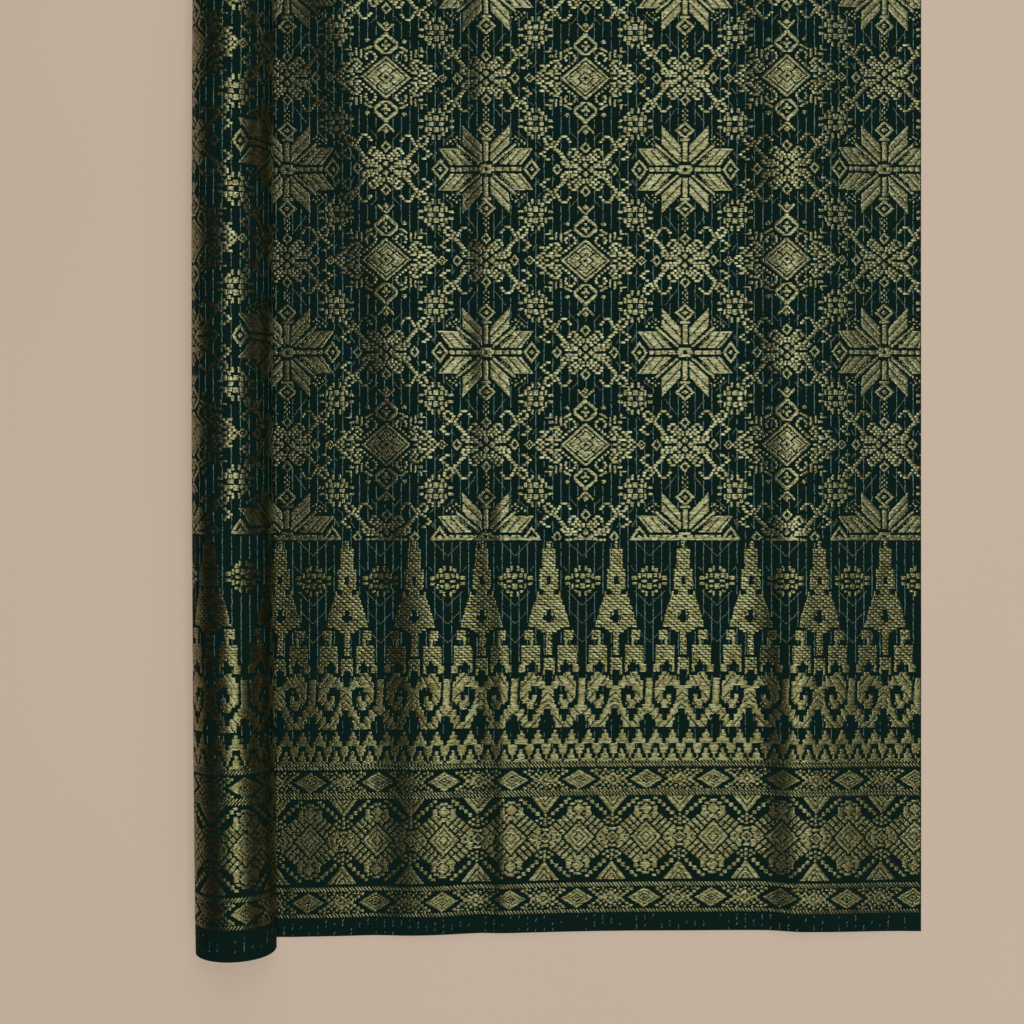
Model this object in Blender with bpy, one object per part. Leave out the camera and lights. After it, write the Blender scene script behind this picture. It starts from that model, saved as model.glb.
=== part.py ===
"""A cut length of songket cloth, lying face up, with its left side wound into an upright-running roll.

Sizes are in metres. +X runs across the cloth from the roll to the plain right edge, +Y runs from the
hem to the far edge, and +Z is up, with Z = 0 on the surface that the cloth lies on.
"""

import math

import bmesh
import bpy
from mathutils import Vector

CLOTH_LENGTH = 0.500
SHEET_RIGHT = 0.1815
SHEET_THICK = 0.0015
LAYER_GAP = 0.0005

# The tuck is the cloth folded back on itself under the roll. Its fold is at the far left.
TUCK_LEFT = -0.1815
TUCK_STEP = 0.012
TUCK_FOLD_SIDES = 4

ROLL_CENTRE_X = -0.159
ROLL_RADIUS = 0.01925
ROLL_BASE_POWER = 2.5
ROLL_SIDES = 32
ROLL_TURN = 0.0020
ROLL_TURN_FROM = math.radians(250)
NOTCH_BEFORE_CENTRE = 0.001

# The roll bends a little to the right away from ROLL_BEND_Y. The layers under it stay straight.
ROLL_BEND = 0.0013
ROLL_BEND_Y = 0.055
ROLL_BEND_FULL_Z = 0.012

SHEET_STEP = 0.0085
LENGTH_STEP = 0.0250

# The hem drifts away from the straight, towards the far edge, and is straight again HEM_FADE further on.
HEM_RISE = 0.0035
HEM_RISE_FROM_X = -0.136
HEM_RISE_TO_X = 0.096
HEM_FADE = 0.200

# Each ridge is a soft crease that lifts the sheet: steep on its left, falling slowly to its right.
# hem_x, middle_x and far_x are where its crest lies at the hem, at Y = 0 and at the far edge.
RIDGES = (
    {"hem_x": -0.072, "middle_x": -0.079, "far_x": -0.116, "left": 0.022, "right": 0.045, "height": 0.0022},
    {"hem_x": -0.028, "middle_x": -0.034, "far_x": -0.038, "left": 0.011, "right": 0.050, "height": 0.0012},
    {"hem_x": 0.122, "middle_x": 0.111, "far_x": 0.106, "left": 0.020, "right": 0.055, "height": 0.0026},
)

SHARP_EDGE = math.radians(40)
GREEN_GROUND = (0.006, 0.022, 0.018, 1.0)
GREEN_ROUGHNESS = 0.7


def smooth(value):
    """An S curve from 0 to 1."""
    value = min(max(value, 0.0), 1.0)
    return value * value * (3 - 2 * value)


def crest_x(ridge, y):
    """Where a ridge's crest lies at this Y, on the parabola through its three places."""
    along = 2 * y / CLOTH_LENGTH
    bend = (ridge["hem_x"] + ridge["far_x"]) / 2 - ridge["middle_x"]
    lean = (ridge["far_x"] - ridge["hem_x"]) / 2
    return ridge["middle_x"] + lean * along + bend * along * along


def ridge_lift(x, y):
    """How far the creases lift the sheet off the surface here."""
    lift = 0.0
    for ridge in RIDGES:
        past = x - crest_x(ridge, y)
        side = ridge["left"] if past < 0 else ridge["right"]
        lift += ridge["height"] * smooth(1 - abs(past) / side)
    return lift


def hem_shift(x, y):
    """How far this point lies from the straight line that the hem would follow."""
    across = (x - HEM_RISE_FROM_X) / (HEM_RISE_TO_X - HEM_RISE_FROM_X)
    from_hem = y + CLOTH_LENGTH / 2
    return HEM_RISE * math.sin(max(across, 0.0) * math.pi / 2) * smooth(1 - from_hem / HEM_FADE)


def roll_bend(y, z):
    """How far the roll bends to the right here, from nothing at its base to all of it ROLL_BEND_FULL_Z up."""
    along = (y - ROLL_BEND_Y) / (CLOTH_LENGTH / 2)
    above_tuck = z - 2 * SHEET_THICK - LAYER_GAP
    return ROLL_BEND * along * along * smooth(above_tuck / ROLL_BEND_FULL_Z)


def steps(start, end, step):
    """Even places from start to end, both included, about one step apart."""
    count = max(1, round(abs(end - start) / step))
    return [start + (end - start) * i / count for i in range(count + 1)]


def strip_sides():
    """The sheet and its tuck as two lists of (x, z): the outer side, on the surface, and the inner side."""
    outer_radius = SHEET_THICK + LAYER_GAP / 2
    fold_x = TUCK_LEFT + outer_radius
    notch_x = ROLL_CENTRE_X - NOTCH_BEFORE_CENTRE
    roll_right = ROLL_CENTRE_X + ROLL_RADIUS
    flat_xs = steps(SHEET_RIGHT, roll_right, SHEET_STEP) + steps(roll_right, fold_x, TUCK_STEP)[1:]
    outer = [(x, 0.0) for x in flat_xs]
    inner = [(x, SHEET_THICK) for x in flat_xs]
    for i in range(1, TUCK_FOLD_SIDES):
        turn = math.pi * i / TUCK_FOLD_SIDES
        for side, radius in ((outer, outer_radius), (inner, LAYER_GAP / 2)):
            side.append((fold_x - radius * math.sin(turn), outer_radius - radius * math.cos(turn)))
    for x in steps(fold_x, notch_x, TUCK_STEP):
        outer.append((x, 2 * outer_radius))
        inner.append((x, SHEET_THICK + LAYER_GAP))
    return outer, inner


def roll_outline():
    """The roll's outline from where its wound end meets the tuck, round to where the tuck runs into it."""
    base_z = SHEET_THICK + LAYER_GAP
    base_height = ROLL_RADIUS - base_z
    outline = [(ROLL_CENTRE_X - NOTCH_BEFORE_CENTRE, base_z + ROLL_TURN)]
    for i in range(ROLL_SIDES - 1, 0, -1):
        turn = 2 * math.pi * i / ROLL_SIDES
        wound = ROLL_TURN * smooth((turn - ROLL_TURN_FROM) / (2 * math.pi - ROLL_TURN_FROM))
        across, down = math.sin(turn), math.cos(turn)
        power, height = (2 / ROLL_BASE_POWER, base_height) if down > 0 else (1.0, ROLL_RADIUS)
        x = ROLL_CENTRE_X + (ROLL_RADIUS - wound) * math.copysign(abs(across) ** power, across)
        z = ROLL_RADIUS - (height - wound) * math.copysign(abs(down) ** power, down)
        outline.append((x, z))
    return outline


def add_section(mesh, y):
    """The faces of the cloth's cross section at this Y: a strip for the sheet and tuck, a fan for the roll."""
    outer_side, inner_side = strip_sides()
    outer = [mesh.verts.new((x, y, z)) for x, z in outer_side]
    inner = [mesh.verts.new((x, y, z)) for x, z in inner_side]
    round_roll = [mesh.verts.new((x, y, z)) for x, z in roll_outline()]
    middle = mesh.verts.new((ROLL_CENTRE_X, y, ROLL_RADIUS))
    faces = [
        mesh.faces.new((outer[i], outer[i + 1], inner[i + 1], inner[i]))
        for i in range(len(outer) - 1)
    ]
    rim = [outer[-1], *round_roll, inner[-1]]
    faces += [mesh.faces.new((middle, rim[i], rim[i + 1])) for i in range(len(rim) - 1)]
    faces.append(mesh.faces.new((middle, inner[-1], outer[-1])))
    return faces


def extrude_along(mesh, faces, length, step):
    """Carries the section along Y, leaving its first copy as one end cap and its last as the other."""
    count = round(length / step)
    for i in range(count):
        made = bmesh.ops.extrude_face_region(mesh, geom=faces)
        if i > 0:
            bmesh.ops.delete(mesh, geom=faces, context="FACES")
        moved = [item for item in made["geom"] if isinstance(item, bmesh.types.BMVert)]
        bmesh.ops.translate(mesh, verts=moved, vec=Vector((0, length / count, 0)))
        faces = [item for item in made["geom"] if isinstance(item, bmesh.types.BMFace)]


def lay(point):
    """Moves a point of the straight, flat cloth to where the cloth really lies."""
    x, y, z = point
    return Vector((x + roll_bend(y, z), y + hem_shift(x, y), z + ridge_lift(x, y)))


def cloth_material():
    material = bpy.data.materials.new("songket_ground")
    material.use_nodes = True
    shader = material.node_tree.nodes["Principled BSDF"]
    shader.inputs["Base Color"].default_value = GREEN_GROUND
    shader.inputs["Roughness"].default_value = GREEN_ROUGHNESS
    return material


def make_cloth():
    mesh = bmesh.new()
    section = add_section(mesh, -CLOTH_LENGTH / 2)
    extrude_along(mesh, section, CLOTH_LENGTH, LENGTH_STEP)
    for vert in mesh.verts:
        vert.co = lay(vert.co)
    bmesh.ops.recalc_face_normals(mesh, faces=mesh.faces)
    data = bpy.data.meshes.new("songket_cloth")
    mesh.to_mesh(data)
    mesh.free()
    data.materials.append(cloth_material())
    data.shade_smooth()
    data.set_sharp_from_angle(angle=SHARP_EDGE)
    cloth = bpy.data.objects.new("songket_cloth", data)
    bpy.context.scene.collection.objects.link(cloth)


def main():
    for old in list(bpy.data.objects):
        bpy.data.objects.remove(old, do_unlink=True)
    make_cloth()


main()
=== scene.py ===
# Songket cloth: green silk with gold thread floats, lying face up with its left side rolled.
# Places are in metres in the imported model's frame. Charts are in units of half a millimetre:
# X runs left from the cut edge, which is 0, and v runs from the hem to the far edge.
import math

import bpy
import numpy as np
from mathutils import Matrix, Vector


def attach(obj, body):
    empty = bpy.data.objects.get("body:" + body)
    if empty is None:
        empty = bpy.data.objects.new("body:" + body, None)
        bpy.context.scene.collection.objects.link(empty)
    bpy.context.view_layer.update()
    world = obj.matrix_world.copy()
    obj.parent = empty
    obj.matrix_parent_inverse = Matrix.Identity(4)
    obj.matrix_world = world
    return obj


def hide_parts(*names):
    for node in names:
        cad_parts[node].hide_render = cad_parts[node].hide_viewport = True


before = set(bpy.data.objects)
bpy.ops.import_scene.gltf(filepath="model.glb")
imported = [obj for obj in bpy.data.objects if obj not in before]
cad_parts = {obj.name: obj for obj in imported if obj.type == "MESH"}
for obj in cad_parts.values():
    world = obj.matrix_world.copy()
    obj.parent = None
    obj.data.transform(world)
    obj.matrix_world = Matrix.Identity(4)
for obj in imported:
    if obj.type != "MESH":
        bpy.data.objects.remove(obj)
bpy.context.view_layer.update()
clothNode = "songket_cloth"
unit = 0.0005
print("frame loaded")


# Camera, straight above as in the photo.

camera = {
    "x": -0.023,
    "y": -0.0375,
    "height": 0.6599,
    "lens": 46.34,  # mm, on a 36 mm sensor: half a metre of cloth fills the picture
    "sensor": 36.0,
}


def makeCamera():
    data = bpy.data.cameras.new("camera")
    data.lens, data.sensor_width = camera["lens"], camera["sensor"]
    data.clip_start, data.clip_end = 0.01, 20
    holder = bpy.data.objects.new("camera", data)
    holder.location = (camera["x"], camera["y"], camera["height"])
    bpy.context.scene.collection.objects.link(holder)
    bpy.context.scene.camera = holder


makeCamera()
print("camera placed")


# Node helpers.

def linearChannel(value):
    return value / 12.92 if value <= 0.04045 else ((value + 0.055) / 1.055) ** 2.4


def hexColour(text):
    return tuple(linearChannel(int(text[i:i + 2], 16) / 255) for i in (0, 2, 4)) + (1.0,)


# Sets a node's sockets, each to a value or to a link from an output. A node stands for its first output.
def setSockets(tree, node, values):
    for name, value in values.items():
        if isinstance(value, bpy.types.Node):
            value = value.outputs[0]
        if isinstance(value, bpy.types.NodeSocket):
            tree.links.new(value, node.inputs[name])
        else:
            node.inputs[name].default_value = value


def addNode(tree, kind, values=None, **settings):
    node = tree.nodes.new(kind)
    for name, value in settings.items():
        setattr(node, name, value)
    setSockets(tree, node, values or {})
    return node


# Noise with spots of these sizes, in mm. A place on a UV map needs only two.
def addSpots(tree, place, sizes, detail=2.0):
    stretch = [1000 / size for size in sizes] + [1.0] * (3 - len(sizes))
    place = addNode(tree, "ShaderNodeVectorMath", {0: place, 1: stretch}, operation="MULTIPLY")
    return addNode(tree, "ShaderNodeTexNoise", {"Vector": place, "Scale": 1.0, "Detail": detail})


def newMaterial(name):
    material = bpy.data.materials.new(name)
    material.use_nodes = True
    tree = material.node_tree
    return material, tree, tree.nodes["Principled BSDF"]


# The path of the cloth's middle line, from the cut edge to the roll's core.

path = {
    "right": 0.1815,
    "fold": -0.17975,
    "foldRadius": 0.000975,
    "height": 0.00045,
    "rollX": -0.159,
    "rollRadius": 0.01925,
    "outset": 0.0004,
    "firstTurnGap": 0.0019,
    "turnGap": 0.0020,
    "turns": 7.97,
    "baseFlat": 0.8,
    "baseHeight": 0.894,
    "halfThick": 0.0004,
    "settleFrom": 250,  # degrees round the outer turn, where it starts to sink onto the one inside
    "flatPoints": 1450,
    "foldPoints": 60,
    "tuckPoints": 90,
    "turnStep": 0.5,  # degrees
}
clothLength = 0.500

# The sheet lies loose, and so creases, from just right of the roll.
looseFrom = {"x": -0.1385, "over": 0.006}

# How the cloth lies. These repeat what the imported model's solid does.
lay = {
    "rollBend": 0.0013,
    "rollBendY": 0.055,
    "rollBendFrom": 0.0035,
    "rollBendOver": 0.012,
    "hemRise": 0.0035,
    "hemFromX": -0.136,
    "hemToX": 0.096,
    "hemFade": 0.200,
}
ridges = (
    {"hemX": -0.072, "middleX": -0.079, "farX": -0.116, "left": 0.022, "right": 0.045, "height": 0.0022},
    {"hemX": -0.028, "middleX": -0.034, "farX": -0.038, "left": 0.011, "right": 0.050, "height": 0.0012},
    {"hemX": 0.122, "middleX": 0.111, "farX": 0.106, "left": 0.020, "right": 0.055, "height": 0.0026},
)

# Creases finer than the solid's. Each fades in after "fromY" and out before "toY".
creaseFade = {"in": 0.03, "out": 0.06}
creases = (
    {"hemX": -0.112, "middleX": -0.110, "farX": -0.112, "left": 0.0275, "right": 0.036, "height": 0.0012,
     "fromY": -0.26, "toY": 0.27},
    {"hemX": -0.060, "middleX": -0.068, "farX": -0.088, "left": 0.026, "right": 0.026, "height": 0.0010,
     "fromY": -0.26, "toY": 0.16},
    {"hemX": -0.0260, "middleX": -0.0290, "farX": -0.0320, "left": 0.0060, "right": 0.010, "height": 0.0008,
     "fromY": -0.26, "toY": 0.02},
    {"hemX": 0.118, "middleX": 0.113, "farX": 0.110, "left": 0.016, "right": 0.016, "height": 0.0007,
     "fromY": -0.20, "toY": 0.26},
    {"hemX": 0.124, "middleX": 0.122, "farX": 0.120, "left": 0.020, "right": 0.066, "height": 0.0022,
     "fromY": -0.26, "toY": 0.27},
    {"hemX": -0.058, "middleX": -0.062, "farX": -0.066, "left": 0.026, "right": 0.016, "height": 0.0006,
     "fromY": -0.26, "toY": 0.04},
)

# The sheet's small unevenness: waves a metre, how they lean, where they start, height in metres.
ripples = (
    {"across": 14.0, "along": 3.0, "start": 0.4, "height": 0.00014},
    {"across": 23.0, "along": -6.0, "start": 2.1, "height": 0.00009},
    {"across": 5.0, "along": 9.0, "start": 1.3, "height": 0.00012},
)


def smooth(value):
    value = np.clip(value, 0.0, 1.0)
    return value * value * (3 - 2 * value)


def bent(value, power):
    return np.sign(value) * np.abs(value) ** power


# The middle line as places, distances from the cut edge and the way that the face looks.
def tracePath():
    radius = path["foldRadius"]
    flatX = np.linspace(path["right"], path["fold"], path["flatPoints"])
    fold = np.linspace(0, math.pi, path["foldPoints"])[1:]
    tuckX = np.linspace(path["fold"], path["rollX"], path["tuckPoints"])[1:]
    turn = np.radians(np.arange(path["turnStep"], 360 * path["turns"], path["turnStep"]))
    settle = path["settleFrom"]
    late = smooth((turn - math.radians(settle)) / math.radians(360 - settle))
    inner = np.maximum(turn / (2 * math.pi) - 1, 0)
    size = path["rollRadius"] - path["outset"] - path["firstTurnGap"] * late - path["turnGap"] * inner
    across, down = np.sin(turn), np.cos(turn)
    base = down > 0
    rollX = path["rollX"] + size * np.where(base, bent(across, path["baseFlat"]), across)
    rollDown = np.where(base, path["baseHeight"] * bent(down, path["baseFlat"]), down)
    tuckZ = path["height"] + 2 * radius
    x = np.concatenate([flatX, path["fold"] - radius * np.sin(fold), tuckX, rollX])
    z = np.concatenate([
        np.full(flatX.size, path["height"]),
        path["height"] + radius * (1 - np.cos(fold)),
        np.full(tuckX.size, tuckZ),
        path["rollRadius"] - size * rollDown,
    ])
    reach = np.concatenate([[0], np.cumsum(np.hypot(np.diff(x), np.diff(z)))])
    alongX, alongZ = np.gradient(x, reach), np.gradient(z, reach)
    length = np.hypot(alongX, alongZ)
    return {"reach": reach, "x": x, "z": z, "faceX": alongZ / length, "faceZ": -alongX / length}


line = tracePath()
sheetReach = path["right"] - path["fold"]
foldReach = sheetReach + math.pi * path["foldRadius"]
rollReach = foldReach + path["rollX"] - path["fold"]
clothReach = line["reach"][-1]


def ridgeLift(x, y, lines):
    lift = np.zeros_like(x)
    along = 2 * y / clothLength
    for ridge in lines:
        bend = (ridge["hemX"] + ridge["farX"]) / 2 - ridge["middleX"]
        lean = (ridge["farX"] - ridge["hemX"]) / 2
        past = x - (ridge["middleX"] + lean * along + bend * along * along)
        side = np.where(past < 0, ridge["left"], ridge["right"])
        height = ridge["height"] * smooth(1 - np.abs(past) / side)
        if "fromY" in ridge:
            height *= smooth((y - ridge["fromY"]) / creaseFade["in"])
            height *= smooth((ridge["toY"] - y) / creaseFade["out"])
        lift += height
    return lift


def hemShift(x, y):
    across = (x - lay["hemFromX"]) / (lay["hemToX"] - lay["hemFromX"])
    fade = smooth(1 - (y + clothLength / 2) / lay["hemFade"])
    return lay["hemRise"] * np.sin(np.maximum(across, 0) * math.pi / 2) * fade


def rollBend(y, z):
    along = (y - lay["rollBendY"]) / (clothLength / 2)
    return lay["rollBend"] * along * along * smooth((z - lay["rollBendFrom"]) / lay["rollBendOver"])


def rippleLift(x, y):
    lift = np.zeros_like(x)
    for wave in ripples:
        place = 2 * math.pi * (wave["across"] * x + wave["along"] * y) + wave["start"]
        lift += wave["height"] * (1 + np.sin(place)) / 2
    return lift


# Places on the laid cloth, from places on the flat cloth in metres and a height over its middle.
def clothPoint(across, along, out):
    reach = -across
    faceX = np.interp(reach, line["reach"], line["faceX"])
    faceZ = np.interp(reach, line["reach"], line["faceZ"])
    x = np.interp(reach, line["reach"], line["x"]) + out * faceX
    z = np.interp(reach, line["reach"], line["z"]) + out * faceZ
    y = along - clothLength / 2
    loose = (reach < sheetReach) * smooth((x - looseFrom["x"]) / looseFrom["over"])
    lift = ridgeLift(x, y, ridges) + loose * (ridgeLift(x, y, creases) + rippleLift(x, y))
    return np.stack([x + rollBend(y, z), y + hemShift(x, y), z + lift], axis=1)


# The woven ground, one closed sheet from the cut edge to the core of the roll.

cloth = {
    "alongSteps": 61,
    "flatStep": 0.003,
    "foldSteps": 9,
    "tuckSteps": 8,
    "rollStep": math.radians(10),
    "sharpEdge": math.radians(40),
}

# Sizes of its patterns are in mm, across the cloth and along it.
silk = {
    "green": "152f1f",
    "teal": "0d3131",
    "shadow": "09110e",
    "streak": (0.6667, 16.67),
    "streakShare": 0.7,
    "patch": (11.11, 71.43),
    "patchShare": 0.6,
    "tealRange": (0.50, 0.80),
    "grain": (0.3846, 0.7692),
    "grainRange": (0.35, 0.65),
    "grainShadow": 0.55,
    "thread": 0.5263,  # a real ground thread is about half of that, which is too fine to show
    "bumpDepth": 0.0001,
    "bump": 0.25,
    "roughness": 0.75,
    "gloss": 0.06,
}


# Silk, spun and plain woven: soft and nearly matt, with warp threads that vary from green to teal.
def groundMaterial():
    material, tree, shader = newMaterial("green silk weave")
    flat = addNode(tree, "ShaderNodeUVMap", uv_map="flat")
    streaks = addSpots(tree, flat, silk["streak"], 3.0)
    patches = addSpots(tree, flat, silk["patch"])
    grain = addSpots(tree, flat, silk["grain"])
    streaks = addNode(tree, "ShaderNodeMath", {0: streaks, 1: silk["streakShare"]}, operation="MULTIPLY")
    patches = addNode(tree, "ShaderNodeMath", {0: patches, 1: silk["patchShare"]}, operation="MULTIPLY")
    share = addNode(tree, "ShaderNodeMath", {0: streaks, 1: patches}, operation="ADD")
    low, high = silk["tealRange"]
    teal = addNode(tree, "ShaderNodeMapRange", {"Value": share, "From Min": low, "From Max": high})
    values = {0: teal, 6: hexColour(silk["green"]), 7: hexColour(silk["teal"])}
    colour = addNode(tree, "ShaderNodeMix", values, data_type="RGBA").outputs[2]
    low, high = silk["grainRange"]
    values = {"Value": grain, "From Min": low, "From Max": high, "To Min": silk["grainShadow"], "To Max": 0.0}
    shade = addNode(tree, "ShaderNodeMapRange", values)
    values = {0: shade, 6: colour, 7: hexColour(silk["shadow"])}
    colour = addNode(tree, "ShaderNodeMix", values, data_type="RGBA").outputs[2]
    split = addNode(tree, "ShaderNodeSeparateXYZ", {0: flat})
    turn = 2 * math.pi * 1000 / silk["thread"]
    waves = []
    for axis in (0, 1):
        place = addNode(tree, "ShaderNodeMath", {0: split.outputs[axis], 1: turn}, operation="MULTIPLY")
        waves.append(addNode(tree, "ShaderNodeMath", {0: place}, operation="SINE"))
    crossings = addNode(tree, "ShaderNodeMath", {0: waves[0], 1: waves[1]}, operation="MULTIPLY")
    height = addNode(tree, "ShaderNodeMath", {0: crossings, 1: grain}, operation="ADD")
    values = {"Height": height, "Distance": silk["bumpDepth"], "Strength": silk["bump"]}
    bump = addNode(tree, "ShaderNodeBump", values)
    setSockets(tree, shader, {
        "Base Color": colour,
        "Normal": bump,
        "Roughness": silk["roughness"],
        "Specular IOR Level": silk["gloss"],
    })
    return material


def clothSteps():
    count = round(sheetReach / cloth["flatStep"])
    parts = [np.linspace(0, sheetReach, count + 1)[:-1]]
    parts.append(np.linspace(sheetReach, foldReach, cloth["foldSteps"])[:-1])
    parts.append(np.linspace(foldReach, rollReach, cloth["tuckSteps"])[:-1])
    turns = np.arange(0, 2 * math.pi * path["turns"], cloth["rollStep"])
    last = line["reach"].size - 1
    first = last + 1 - round(360 * path["turns"] / path["turnStep"])
    places = np.clip(first + np.round(np.degrees(turns) / path["turnStep"]).astype(int), 0, last)
    parts.append(line["reach"][places])
    return np.unique(np.concatenate(parts + [[clothReach]]))


def makeObject(name, data):
    piece = bpy.data.objects.new(name, data)
    bpy.context.scene.collection.objects.link(piece)
    return piece


def makeCloth():
    reach = clothSteps()
    along = np.linspace(0, clothLength, cloth["alongSteps"])
    rows, columns = reach.size, along.size
    across = np.repeat(-reach, columns)
    up = np.tile(along, rows)
    half = path["halfThick"]
    face = clothPoint(across, up, half)
    back = clothPoint(across, up, -half)
    count = rows * columns
    index = np.arange(count).reshape(rows, columns)
    corners = (index[:-1, :-1], index[:-1, 1:], index[1:, 1:], index[1:, :-1])
    quads = np.stack([corner.ravel() for corner in corners], axis=1)
    faces = [quads, quads[:, ::-1] + count]
    for edge in (index[0, ::-1], index[:, 0], index[-1, :], index[::-1, -1]):
        start, end = edge[:-1], edge[1:]
        faces.append(np.stack([start, end, end + count, start + count], axis=1))
    faces = np.concatenate(faces)
    data = bpy.data.meshes.new("wovenGround")
    data.from_pydata(np.concatenate([face, back]).tolist(), [], faces.tolist())
    layer = data.uv_layers.new(name="flat")
    flat = np.tile(np.stack([across, up], axis=1), (2, 1))
    layer.data.foreach_set("uv", flat[faces.ravel()].ravel().astype(np.float32))
    data.validate()
    data.shade_smooth()
    data.set_sharp_from_angle(angle=cloth["sharpEdge"])
    data.materials.append(groundMaterial())
    return makeObject("wovenGround", data)


ground = makeCloth()
print("ground woven", len(ground.data.polygons), "faces")


# Charts. A chart lists shapes as (thread, shape, numbers), in units about the motif's middle.
# "bare" takes thread away again inside its own motif.

smallFlower = (
    ("fine", "box", 0, 5.4, 5, 5.2),
    ("fine", "box", 5.3, 0, 5.2, 3),
    ("fine", "box", 5.7, 5.3, 3.8, 3.2),
    ("fine", "box", 10.1, 5.3, 2.7, 5),
    ("fine", "box", 6.8, 10.4, 3.4, 3.6),
    ("fine", "box", 3.2, 13.1, 2.6, 5.4),
    ("fine", "box", 15, 3, 4.8, 2.6),
)
starFlower = (
    ("close", "polygon", 47.5, 20.7, 28, 20.7, 10.5, 3.9, 35, 4),
    ("bare", "line", 43.6, 19.3, 30.6, 4.2, 1.15),
    ("bare", "line", 34.1, 19.3, 20.7, 3.9, 1.15),
    ("bare", "line", 26, 17, 12, 4, 1.15),
    ("close", "polygon", 23.6, 44.7, 23.4, 25.6, 4, 7, 4.6, 24.6),
    ("bare", "line", 22.9, 34.5, 4.6, 15.8, 1.15),
    ("bare", "line", 12, 34, 5.3, 26, 1.15),
    ("bare", "line", 6.7, 5.3, 28.8, 24.6, 4.6),
    ("close", "line", 7.7, 6.3, 28.8, 24.6, 2.5),
    ("bare", "box", 0, 0, 56, 7.2),
    ("bare", "box", 0, 0, 7.2, 52),
    ("close", "box", 0, 17.6, 4.8, 19),
    ("close", "box", 0, 29.8, 10, 2.6),
    ("close", "box", 20.8, 0, 30, 4.8),
    ("bare", "dots", 1.2, 5, 8.8, 0, 16.9, 0, 23.9, 0, 30.6, 0),
    ("close", "box", 0, 0, 11.6, 9),
    ("bare", "box", 0, 0, 3.6, 2.6),
    ("close", "ring", 0, 39.7, 9.8, 9.3, 0.64),
    ("fine", "lozenge", 0, 39.7, 3, 2.6),
    ("close", "ring", 45.7, 0, 8.4, 11.2, 0.64),
    ("fine", "lozenge", 45.7, 0, 2.4, 2.6),
    ("fine", "dots", 2, 2, 26.4, 30.6, 29.5, 33, 32.3, 30.9, 30.2, 28.1, 32.7, 25.7, 35.9, 28.8, 38.7, 26),
    ("fine", "dots", 1.3, 1.3, 0, 51.4, 2.3, 53.6, 0, 56.2, 2.3, 58.6, 0, 61.2),
)
crossFlower = (
    ("fine", "lozenge", 0, 5.1, 3.3, 4),
    ("fine", "lozenge", 5.6, 0, 3, 4),
    ("fine", "ring", 0, 24.2, 5.6, 6.6, 0.52),
    ("fine", "ring", 28.6, 0, 5.2, 6.8, 0.50),
    ("dash", "row", 36.4, 21.6, 6, 37.6, 4),
    ("dash", "row", 33.6, 17.2, 2.6, 25.6, 2.8, 34.2, 3, 41, 2.8),
    ("dash", "row", 30.8, 15.2, 3, 27, 2.4, 31.6, 3, 40.6, 3),
    ("dash", "row", 28, 28.6, 2.6, 33.2, 2.4, 38.2, 4),
    ("dash", "row", 25.2, 30.4, 2.4, 35, 4.2),
    ("dash", "row", 22.4, 12, 5, 29.6, 4.2, 38.2, 3),
    ("dash", "row", 19.6, 8.6, 3.2, 15.4, 3, 27, 4, 41.6, 3),
    ("dash", "row", 16.8, 5.2, 3, 10, 3.2, 16.4, 3, 24.6, 4, 44.2, 3),
    ("dash", "row", 14, 2.6, 3, 7.4, 3.2, 12.6, 3.4, 22.6, 4.2, 41.4, 3.4),
    ("dash", "row", 11.2, 2, 2.4, 5.4, 2.4, 9.8, 3, 20.6, 4.4, 37.6, 4),
    ("dash", "row", 8.4, 6, 3, 13.6, 3, 17.8, 3, 23.2, 3),
    ("dash", "row", 5.6, 9.4, 2.6, 12.8, 3.6, 17.6, 3, 21.8, 3.6),
    ("dash", "row", 2.8, 10, 4.2, 14.8, 3, 18.6, 3.2),
)
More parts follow.
